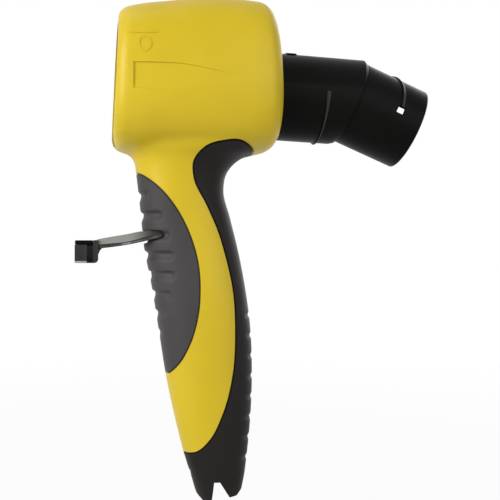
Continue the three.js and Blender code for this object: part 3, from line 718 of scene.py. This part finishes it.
# A tongue on the left half closes the seam from 1 mm under the surface inwards.
def halves(piece, name):
    gap, wide, tall = seamGap / 2, 200, 300

    def slab(title, y0, y1):
        return boxBetween(title, (-wide, y0, -tall), (wide, y1, tall))

    right = duplicate(piece, "right" + name)
    combine(right, slab("side", gap, wide), "INTERSECT")
    tongue = duplicate(piece, "tongue")
    combine(tongue, ribLimit, "INTERSECT", keep=True)
    combine(tongue, slab("seam", -gap - tongueRoot, gap - tongueGap), "INTERSECT")
    piece.name = "left" + name
    combine(piece, slab("side", -wide, -gap), "INTERSECT")
    combine(piece, tongue, "UNION")
    return piece, right


leftShell, rightShell = halves(makeHousing(), "Shell")
deliver(leftShell, "root", "yellow_shell", "left_housing")
deliver(rightShell, "root", "yellow_shell", "right_housing")

fingerGrooves = {
    "pitch": 10.5, "first": 36, "above": 1.9, "below": 4.5, "end": 3,
    "reach": [-22, -15.6, -11.5, -9.5, -9, -10.5, -13, -15],  # how far back each groove runs
    "depth": [1.3, 1.55, 1.6, 1.6, 1.55, 1.4, 1.1, 0.9],
}
palmScallops = {
    "first": -28.7, "pitch": 11, "count": 8, "depth": 0.7, "behind": 20,
    "halfHeight": 2.1, "halfWidth": 13.5, "fade": 5,
}


def dent(height, half):
    return (1 - (height / half) ** 2) ** 2 if abs(height) < half else 0


def ease(value):
    value = min(max(value, 0), 1)
    return value * value * (3 - 2 * value)


def pressed(piece, depthAt):
    normals = [v.normal.copy() for v in piece.data.vertices]
    for vertex, normal in zip(piece.data.vertices, normals):
        vertex.co -= normal * depthAt(vertex.co / mm, normal) * mm


# A groove ends in a half round, and its upper wall is steeper than its lower one.
def fingerDepth(p, normal):
    depth = 0
    for i, (reach, most) in enumerate(zip(fingerGrooves["reach"], fingerGrooves["depth"])):
        height = p.z - (fingerGrooves["first"] - i * fingerGrooves["pitch"])
        half = fingerGrooves["above"] if height > 0 else fingerGrooves["below"]
        past = max(p.x - reach + fingerGrooves["end"], 0) / fingerGrooves["end"]
        depth += most * dent(math.hypot(height / half, past), 1)
    return depth


def palmDepth(p, normal):
    if p.x < palmScallops["behind"] or normal.x < 0:
        return 0
    depth = 0
    across = ease((palmScallops["halfWidth"] - abs(p.y)) / palmScallops["fade"])
    for i in range(palmScallops["count"]):
        height = p.z - (palmScallops["first"] - i * palmScallops["pitch"])
        depth += palmScallops["depth"] * across * dent(height, palmScallops["halfHeight"])
    return depth


footOutline = [
    (beyond, 200), (-beyond, 200), (-beyond, -112), (0, -112), (1, -118), (3.2, -124.8), (6.6, -128.4),
    (11.2, -129.4), (19.4, -126), (24, -125.4), (27, -122.4), (30, -112), (beyond, -112),
]
notch = {"top": -117.3, "frontFoot": 10.2, "frontTop": 11.5, "rearTop": 14.6, "rearFoot": 23.2}


def notchSlab():
    foot, top = gripShape["rows"][0][0], notch["top"]
    return sideSlab("notch", [
        (notch["frontFoot"], foot), (notch["frontTop"], top),
        (notch["rearTop"], top), (notch["rearFoot"], foot),
    ])


def makeSkin(which, depthAt):
    skin = duplicate(outer, which + "Skin")
    pressed(skin, depthAt)
    lining = duplicate(skin, "lining")
    combine(skin, skinZone(which, 0), "INTERSECT")
    finishWith(lining, "DISPLACE", strength=-skinOutlines["baseDepth"] * mm, mid_level=0)
    combine(lining, skinZone(which, skinOutlines["base"]), "INTERSECT")
    combine(skin, lining, "UNION")
    combine(skin, skinBack, "DIFFERENCE", keep=True)
    combine(skin, armSlot(), "DIFFERENCE")
    combine(skin, saddleSlot(), "DIFFERENCE")
    if which == "rear":
        combine(skin, sideSlab("footLimit", footOutline), "INTERSECT")
        combine(skin, notchSlab(), "DIFFERENCE")
    return skin


for which, depthAt in (("front", fingerDepth), ("rear", palmDepth)):
    left, right = halves(makeSkin(which, depthAt), which.capitalize() + "Skin")
    deliver(left, "root", which + "_skin", f"left_{which}_skin")
    deliver(right, "root", which + "_skin", f"right_{which}_skin")


# Painted highlight on the upper facet of the arm, stronger and stronger towards the tip, where the facet
# reflects the light above.
def armHighlight(centre, normal):
    if normal.z <= lever["highlightFacing"]:
        return 0
    return lever["highlightShare"] * ease((lever["highlightFrom"] - centre.x) / lever["highlightOver"])


def makeLever():
    piece = saddle()
    combine(piece, saddleFloor, "DIFFERENCE", keep=True)
    inner = armLoft("arm", lever["arm"])
    x, z = lever["pivot"]
    combine(inner, crossBar("hub", x, z, lever["hub"], -lever["hubHalf"], lever["hubHalf"]), "UNION")
    combine(piece, inner, "UNION")
    combine(piece, sideSlab("gusset", lever["gusset"], -lever["gussetHalf"], lever["gussetHalf"]), "UNION")
    combine(piece, boxBetween("tongue", *lever["tongue"]), "UNION")
    combine(piece, crossBar("bore", x, z, lever["bore"], -lever["boreHalf"], lever["boreHalf"]), "DIFFERENCE")
    piece.name = "catchLever"
    return paintedHighlight(piece, armHighlight)


def bevelWhere(piece, width, segments, test):
    pick(piece)
    points = piece.data.vertices
    for item in (*points, *piece.data.edges, *piece.data.polygons):
        item.select = False
    for edge in piece.data.edges:
        middle = (points[edge.vertices[0]].co + points[edge.vertices[1]].co) / 2 / mm
        edge.select = test(middle)
    bpy.ops.object.mode_set(mode="EDIT")
    bpy.ops.mesh.select_mode(type="EDGE")
    bpy.ops.mesh.bevel(offset=width * mm, segments=segments, affect="EDGES")
    bpy.ops.object.mode_set(mode="OBJECT")


def roundEdges(piece, width, above=60):
    limit = math.radians(above)
    finishWith(piece, "BEVEL", width=width * mm, segments=3, limit_method="ANGLE", angle_limit=limit)


tip = {
    "front": -61.6, "rear": -49.3, "bottom": -0.4, "top": 11.7, "half": 7.4,
    "heel": 2.2, "edge": 0.35, "chamfer": 1.1, "near": 0.1,
    "neck": (-55.3, -52), "neckDepth": 2.6, "ledge": 9.3, "ledgeDepth": 0.7,
    "past": {"half": 12, "low": -5, "high": 15},  # how far the cutters reach
    "stud": (-59.8, 2.3, 1.1), "studProud": 0.5, "studEdge": 0.25,
    "pocket": ((-55.4, -4.3, 7.3), (-47, 4.3, 10.9)), "corePocket": ((-55.4, -4.1, 7.5), (-47, 4.1, 10.7)),
    "coreGap": 0.02, "coreRise": 0.1, "capBack": 0.15, "capDrop": 0.05, "capEdge": 0.6,
    # Painted highlight on the bottom chamfer of the front block: how low its faces lie, and the range their
    # normals point in.
    "highlightBelow": 0.8, "highlightFacing": (-0.95, -0.3),
}


# The hook that the thumb presses: a front block and a rear bracket on a core whose near-black finish paints
# the shade in the sunken neck band.
def makeTip():
    t, past = tip, tip["past"]
    neckFrom, neckTo = t["neck"]
    body = boxBetween("catchTip", (t["front"], -t["half"], t["bottom"]), (t["rear"], t["half"], t["top"]))
    lowest = t["bottom"] + t["near"]
    atRear, atSide = t["rear"] - t["near"], t["half"] - t["near"]
    bevelWhere(body, t["heel"], segments=5, test=lambda m: m.x > atRear and m.z < lowest)
    bevelWhere(body, t["chamfer"], segments=1, test=lambda m: abs(m.y) > atSide and m.z < lowest)
    for side in (-1, 1):
        y0, y1 = sorted((side * (t["half"] - t["neckDepth"]), side * past["half"]))
        neck = boxBetween("neck", (neckFrom, y0, past["low"]), (neckTo, y1, past["high"]))
        combine(body, neck, "DIFFERENCE")
    low, high = (t["front"] - 1, -past["half"], t["ledge"]), (neckTo, past["half"], past["high"])
    combine(body, boxBetween("top", low, high), "DIFFERENCE")
    roundEdges(body, t["edge"], above=50)
    x, z, radius = t["stud"]
    stud = crossBar("stud", x, z, radius, -t["half"] - t["studProud"], t["half"] + t["studProud"], sides=24)
    roundEdges(stud, t["studEdge"])
    combine(body, stud, "UNION")
    combine(body, boxBetween("pocket", *t["pocket"]), "DIFFERENCE")
    steepest, flattest = t["highlightFacing"]

    # The bottom chamfer of the front block gets painted highlight, a lighter colour for the light it reflects
    # from below.
    def onChamfer(centre, normal):
        return centre.z < t["highlightBelow"] and centre.x < neckFrom and steepest < normal.z < flattest

    return paintedHighlight(body, onChamfer)


# The core under the block: its near-black finish is painted shade for the sunken neck band, and it darkens
# the cap along the top as well.
def makeTipCore():
    t = tip
    start, end = t["neck"][0] + t["coreGap"], t["neck"][1] - t["coreGap"]
    half, capHalf = t["half"] - t["neckDepth"], t["half"] - t["ledgeDepth"]
    core = boxBetween("catchCore", (start, -half, t["bottom"] + t["coreRise"]), (end, half, t["ledge"]))
    low = (t["front"] + t["capBack"], -capHalf, t["ledge"] + t["coreGap"])
    cap = boxBetween("cap", low, (end, capHalf, t["top"] - t["capDrop"]))
    roundEdges(cap, t["capEdge"])
    combine(core, cap, "UNION")
    return combine(core, boxBetween("pocket", *t["corePocket"]), "DIFFERENCE")


deliver(makeLever(), "lever", "catch", "catch_lever", angle=35)
deliver(makeTip(), "lever", "catch", "catch_tip", angle=35)
# The tip's core takes the black fitting finish as painted shade for the sunken band.
deliver(makeTipCore(), "lever", "black_fitting", "catch_tip", angle=35)
discard(outer, core, skinBack, hollow, ribLimit, saddleFloor, slotFloor)


# A copy of the return spring's imported mesh, with its doubled points merged.
def makeSpring():
    spring = duplicate(frame["nodes"]["return_spring"], "returnSpring")
    editAll()
    bpy.ops.mesh.remove_doubles(threshold=0.001 * mm)
    bpy.ops.object.mode_set(mode="OBJECT")
    del spring["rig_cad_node"]  # this copy is a piece of its own
    return spring


spring = makeSpring()
deliver(spring, "root", "steel", "return_spring", angle=80)
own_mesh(spring)

socket = {
    "front": 1, "ring": 32.8, "edge": 0.5, "bore": 28.5, "mouthDepth": 1.2, "mouthFlare": 0.9,
    "depth": 21, "floor": 2.2, "floorStep": 3, "inlet": 22,
    "flangeFrom": 3.5, "flangeTo": 6.1, "flange": 34.1, "steps": 120,
    "lugs": 3, "lugWidth": 9, "lugHeight": 2.2, "lugRoot": 1, "lugEdge": 0.5,
    "lugFrom": 5, "lugTo": 8, "lugTurn": math.pi / 6,
}


def makeLug(turn):
    s = socket
    width = s["lugHeight"] + s["lugRoot"]
    centre = (s["bore"] + s["lugRoot"] - width / 2, 0, (s["lugFrom"] + s["lugTo"]) / 2)
    clearSelection()
    bpy.ops.mesh.primitive_cube_add(
        size=1, location=Vector(centre) * mm,
        scale=Vector((width, s["lugWidth"], s["lugTo"] - s["lugFrom"])) * mm,
    )
    bpy.ops.object.transform_apply()
    lug = named("lug")
    finishWith(lug, "BEVEL", width=s["lugEdge"] * mm, segments=2, limit_method="NONE")
    return bake(lug, airPlace @ Matrix.Rotation(turn, 4, "Z"))


def makeSocket():
    s = socket
    back = s["depth"] + s["floor"]
    body = spun("frontSocket", [
        *roundedCorner(s["front"], s["ring"], s["edge"], towards=-1, steps=4),
        (s["flangeFrom"], s["ring"]), (s["flangeFrom"], s["flange"]),
        (s["flangeTo"], s["flange"]), (s["flangeTo"], s["ring"]),
        (s["depth"], s["ring"]), (back, s["ring"] - s["floorStep"]), (back, s["inlet"]),
        (s["depth"], s["inlet"]), (s["depth"], s["bore"]),
        (s["front"] + s["mouthDepth"], s["bore"]), (s["front"], s["bore"] + s["mouthFlare"]),
    ], steps=s["steps"])
    for i in range(s["lugs"]):
        lug = makeLug(2 * math.pi * i / s["lugs"] + math.pi - s["lugTurn"])
        combine(body, lug, "UNION")
    return body


deliver(makeSocket(), "root", "black_fitting", "front_socket")


seals = {"section": 1.6, "points": 14, "socket": (19.1, 25.7), "swivel": (66.9, 21.4)}  # station, radius


def sealProfile(which):
    station, radius = seals[which]
    turns = [2 * math.pi * i / seals["points"] for i in range(seals["points"])]
    section = seals["section"]
    return [(station + section * math.sin(a), radius + section * math.cos(a)) for a in turns]


deliver(spun("socketSeal", sealProfile("socket")), "root", "seal", "socket_seal", angle=60)
deliver(spun("swivelSeal", sealProfile("swivel")), "root", "seal", "swivel_seal", angle=60)

ductProfile = [  # station, radius: the collar, the taper and the straight end
    (23.5, 22), (23.5, 26.5), (26.1, 26.5), (26.1, 24), (40, 20.5), (65, 20.5), (65, 18.5), (40, 18.5),
]
deliver(spun("airDuct", ductProfile), "root", "black_fitting", "air_duct")

bush = {"from": 77.3, "to": 83.8, "bore": 24, "outer": 26}
deliver(spun("swivelBush", [
    (bush["from"], bush["bore"]), (bush["from"], bush["outer"]),
    (bush["to"], bush["outer"]), (bush["to"], bush["bore"]),
]), "root", "swivel_bush", "swivel_bush")

tubeSteps = 128
hose = {
    "bend": 130, "fall": math.radians(20.4), "outer": 22.9, "bore": 20.6, "length": 37,
    "round": 1, "mouthDepth": 0.8, "mouthFlare": 0.5,
    # The last pair gives the stations where the rib's slope takes painted highlight.
    "rib": (15.4, 2.2, 0.8), "ribLead": 0.3, "ribEnd": -4.6, "ribSide": 6, "paintedHighlight": (5, 30),
    "holes": [  # side, station, turn, size
        (-1, 23.4, math.radians(5.9), 4.2), (1, 33.2, math.radians(38), 4.8),
    ],
}
elbow = {
    "from": 71, "outer": 23.7, "bore": 20.4, "flange": 26.2, "flangeWidth": 3, "overlap": 12,
    "beadFrom": 91.4, "beadWidth": 5.4, "beadHeight": 0.7, "beadAbove": 113.5,
    # The last pair gives the stations where the rib's slope takes painted highlight.
    "beadLead": 0.5, "beadTail": 0.7, "rib": (110.8, 2.8, 1), "ribBelow": 91, "paintedHighlight": (105, 125),
    "thinFrom": -4, "thinOver": 27, "thinBy": 0.7,
    "mitreReach": 80, "mouthFrom": -9, "mouthTo": 6, "mouthIn": 0.4,
    "chamferFrom": -6, "chamferTo": 1, "chamferOut": 2, "chamferIn": 0.8, "chamferLift": 2, "chamferLean": 12,
}
hosePlace = airPlace @ Matrix.Translation((0, 0, hose["bend"] * mm)) @ Matrix.Rotation(hose["fall"], 4, "Y")


ribShape = {"root": 1, "front": 0.7, "crest": 0.2, "foot": 0.1}  # root in millimetres, the others are shares


# A rib with a steep face towards the spray side and a long slope behind it.
def ribProfile(station, radius, width, height):
    root, end = radius - ribShape["root"], station + width
    return [
        (station, root), (station, radius + height * ribShape["front"]),
        (station + width * ribShape["crest"], radius + height),
        (end, radius + height * ribShape["foot"]), (end, root),
    ]


# A low bead that shows only at the top of the tube.
def elbowBead():
    e = elbow
    start, end = e["beadFrom"], e["beadFrom"] + e["beadWidth"]
    root, crest = e["outer"] - 1, e["outer"] + e["beadHeight"]
    bead = spun("bead", [
        (start, root), (start, e["outer"]), (start + e["beadLead"], crest),
        (end, crest), (end + e["beadTail"], e["outer"]), (end + e["beadTail"], root),
    ], steps=tubeSteps)
    top = boxBetween("beadTop", (0, -beyond, e["beadAbove"]), (beyondRear, beyond, beyondRear))
    return combine(bead, top, "INTERSECT")


# The rib runs round the lower half and gets thinner downwards.
def elbowRib():
    e = elbow
    station, width, height = e["rib"]
    rib = spun("elbowRib", ribProfile(station, e["outer"], width, height), Matrix.Identity(4), tubeSteps)
    for vertex in rib.data.vertices:
        down = min(max((vertex.co.x / mm - e["thinFrom"]) / e["thinOver"], 0), 1)
        vertex.co.z = station * mm + (vertex.co.z - station * mm) * (1 - e["thinBy"] * down)
    lower = boxBetween("lowerHalf", (0, -beyond, 0), (beyondRear, beyond, e["ribBelow"]))
    return combine(bake(rib, airPlace), lower, "INTERSECT")


def elbowChamfer():
    e = elbow
    chamfer = spun("chamfer", [
        (e["chamferFrom"], e["outer"] + e["chamferOut"]), (e["chamferTo"], hose["outer"] - e["chamferIn"]),
        (e["chamferTo"], e["mitreReach"]), (e["chamferFrom"], e["mitreReach"]),
    ], Matrix.Identity(4), tubeSteps)
    for vertex in chamfer.data.vertices:  # hardly anything comes off the inside of the bend
        vertex.co.z += e["chamferLift"] * mm + vertex.co.x / e["chamferLean"]
    return bake(chamfer, hosePlace)


def makeElbow():
    e = elbow
    flangeEnd, end = e["from"] + e["flangeWidth"], hose["bend"] + e["overlap"]
    body = spun("elbow", [
        (e["from"], e["bore"]), (e["from"], e["flange"]), (flangeEnd, e["flange"]), (flangeEnd, e["outer"]),
        (end, e["outer"]), (end, e["bore"]),
    ], steps=tubeSteps)
    combine(body, elbowBead(), "UNION")
    combine(body, elbowRib(), "UNION")
    reach, bore = e["mitreReach"], hose["bore"] - e["mouthIn"]
    combine(body, rodAlong("mitreSide", -reach, 0, reach, hosePlace, sides=8), "INTERSECT")
    combine(body, elbowChamfer(), "DIFFERENCE")
    mouth = rodAlong("mouth", e["mouthFrom"], e["mouthTo"], bore, hosePlace, tubeSteps)
    combine(body, mouth, "DIFFERENCE")
    return paintedRibHighlight(body, airPlace, e["outer"], *e["paintedHighlight"])


def makeHoseSocket():
    h = hose
    body = spun("hoseSocket", [
        (seat, h["bore"]), (seat, h["outer"]),
        *roundedCorner(h["length"], h["outer"], h["round"], towards=1),
        (h["length"], h["bore"] + h["mouthFlare"]), (h["length"] - h["mouthDepth"], h["bore"]),
    ], hosePlace, tubeSteps)
    station, width, height = h["rib"]
    rib = spun("hoseRib", ribProfile(station, h["outer"], width, height), Matrix.Identity(4), tubeSteps)
    for vertex in rib.data.vertices:
        vertex.co.z -= vertex.co.y * h["ribLead"]  # the rib runs on towards the rim on the left side
    bake(rib, hosePlace)
    upper = boxBetween("upper", (-beyond, -beyond, 0), (h["ribEnd"], h["ribSide"], beyond))
    combine(rib, bake(upper, hosePlace), "INTERSECT")
    combine(body, rib, "UNION")
    for side, station, turn, size in h["holes"]:
        y0, y1 = sorted((0, side * beyond))
        hole = boxBetween("hole", (-size / 2, y0, station - size / 2), (size / 2, y1, station + size / 2))
        combine(body, bake(hole, hosePlace @ Matrix.Rotation(side * turn, 4, "Z")), "DIFFERENCE")
    return paintedRibHighlight(body, hosePlace, h["outer"], *h["paintedHighlight"])


deliver(makeElbow(), "swivel", "black_fitting", "elbow")
deliver(makeHoseSocket(), "swivel", "black_fitting", "hose_socket")

stage = {
    "floorHeight": -0.16, "floorSize": 8, "floorColour": (0.72, 0.72, 0.72, 1), "floorRoughness": 0.8,
    "shadowReach": (0.3, 1.0), "shadowShare": 0.07,
    "key": {"place": (-1.0, -0.72, 0.38), "size": 0.7, "power": 13.1},
    "fill": {"place": (0.7, -1.0, 0.35), "size": 1.0, "power": 4},
    "top": {"place": (-0.35, 0.0, 1.15), "size": 0.5, "power": 1.2},
    "back": {"place": (0.9, 0.9, 0.35), "size": 1.2, "power": 6},
    "target": (0.03, 0, 0.01), "ambient": 0.27,
}


def aimAt(thing, target):
    thing.rotation_euler = (Vector(target) - thing.location).to_track_quat("-Z", "Y").to_euler()


def makeLights():
    for name in ("key", "fill", "top", "back"):
        look = stage[name]
        bpy.ops.object.light_add(type="AREA", location=look["place"])
        lamp = bpy.context.object
        lamp.name = name + "Light"
        lamp.data.shape = "DISK"
        lamp.data.size = look["size"]
        lamp.data.energy = look["power"]
        aimAt(lamp, stage["target"])


# Camera, mirror and glass rays see plain white, and the other branch lights the object.
def whiteForCamera(nodes, links, plain, output, share):
    def mathNode(operation):
        node = nodes.new("ShaderNodeMath")
        node.operation = operation
        return node

    light = nodes.new("ShaderNodeLightPath")
    mirrored, seen, scaled = (mathNode(kind) for kind in ("MAXIMUM", "MAXIMUM", "MULTIPLY"))
    if share is None:
        scaled.inputs[1].default_value = 1
    else:
        links.new(share, scaled.inputs[1])
    white = nodes.new("ShaderNodeBackground" if output.type == "OUTPUT_WORLD" else "ShaderNodeEmission")
    white.inputs["Color"].default_value = (1, 1, 1, 1)
    white.inputs["Strength"].default_value = 1
    mix = nodes.new("ShaderNodeMixShader")
    links.new(light.outputs["Is Glossy Ray"], mirrored.inputs[0])
    links.new(light.outputs["Is Transmission Ray"], mirrored.inputs[1])
    links.new(light.outputs["Is Camera Ray"], seen.inputs[0])
    links.new(mirrored.outputs[0], seen.inputs[1])
    links.new(seen.outputs[0], scaled.inputs[0])
    links.new(scaled.outputs[0], mix.inputs["Fac"])
    links.new(plain, mix.inputs[1])
    links.new(white.outputs[0], mix.inputs[2])
    links.new(mix.outputs[0], output.inputs["Surface"])


def makeWorld():
    world = bpy.data.worlds.new("softRoom")
    bpy.context.scene.world = world
    world.use_nodes = True
    nodes, links = world.node_tree.nodes, world.node_tree.links
    nodes["Background"].inputs["Color"].default_value = (1, 1, 1, 1)
    nodes["Background"].inputs["Strength"].default_value = stage["ambient"]
    whiteForCamera(nodes, links, nodes["Background"].outputs[0], nodes["World Output"], None)


def makeFloor():
    clearSelection()
    bpy.ops.mesh.primitive_plane_add(size=stage["floorSize"], location=(0, 0, stage["floorHeight"]))
    floor = named("floor")
    material = bpy.data.materials.new("paleFloor")
    material.use_nodes = True
    nodes, links = material.node_tree.nodes, material.node_tree.links
    shader = nodes["Principled BSDF"]
    shader.inputs["Base Color"].default_value = stage["floorColour"]
    shader.inputs["Roughness"].default_value = stage["floorRoughness"]
    coords = nodes.new("ShaderNodeTexCoord")
    distance = nodes.new("ShaderNodeVectorMath")
    distance.operation = "LENGTH"
    fade = nodes.new("ShaderNodeMapRange")
    fade.interpolation_type = "SMOOTHSTEP"
    near, far = stage["shadowReach"]
    fade.inputs["From Min"].default_value = near
    fade.inputs["From Max"].default_value = far
    fade.inputs["To Min"].default_value = 1 - stage["shadowShare"]
    fade.inputs["To Max"].default_value = 1
    links.new(coords.outputs["Object"], distance.inputs[0])
    links.new(distance.outputs["Value"], fade.inputs["Value"])
    whiteForCamera(nodes, links, shader.outputs[0], nodes["Material Output"], fade.outputs["Result"])
    floor.data.materials.append(material)


view = {
    "swing": math.radians(9.5), "distance": 0.511, "centre": (0.033, 0, 0.0065),
    "sensor": 36, "lens": 66.96, "clipStart": 0.01,
}


def makeCamera():
    away = Vector((math.sin(view["swing"]), math.cos(view["swing"]), 0))
    bpy.ops.object.camera_add(
        location=Vector(view["centre"]) - view["distance"] * away, rotation=(math.pi / 2, 0, -view["swing"]),
    )
    camera = bpy.context.object
    camera.data.sensor_width = view["sensor"]
    camera.data.lens = view["lens"]
    camera.data.clip_start = view["clipStart"]
    bpy.context.scene.camera = camera


makeLights()
makeWorld()
makeFloor()
makeCamera()
bpy.context.scene.view_settings.view_transform = "Standard"
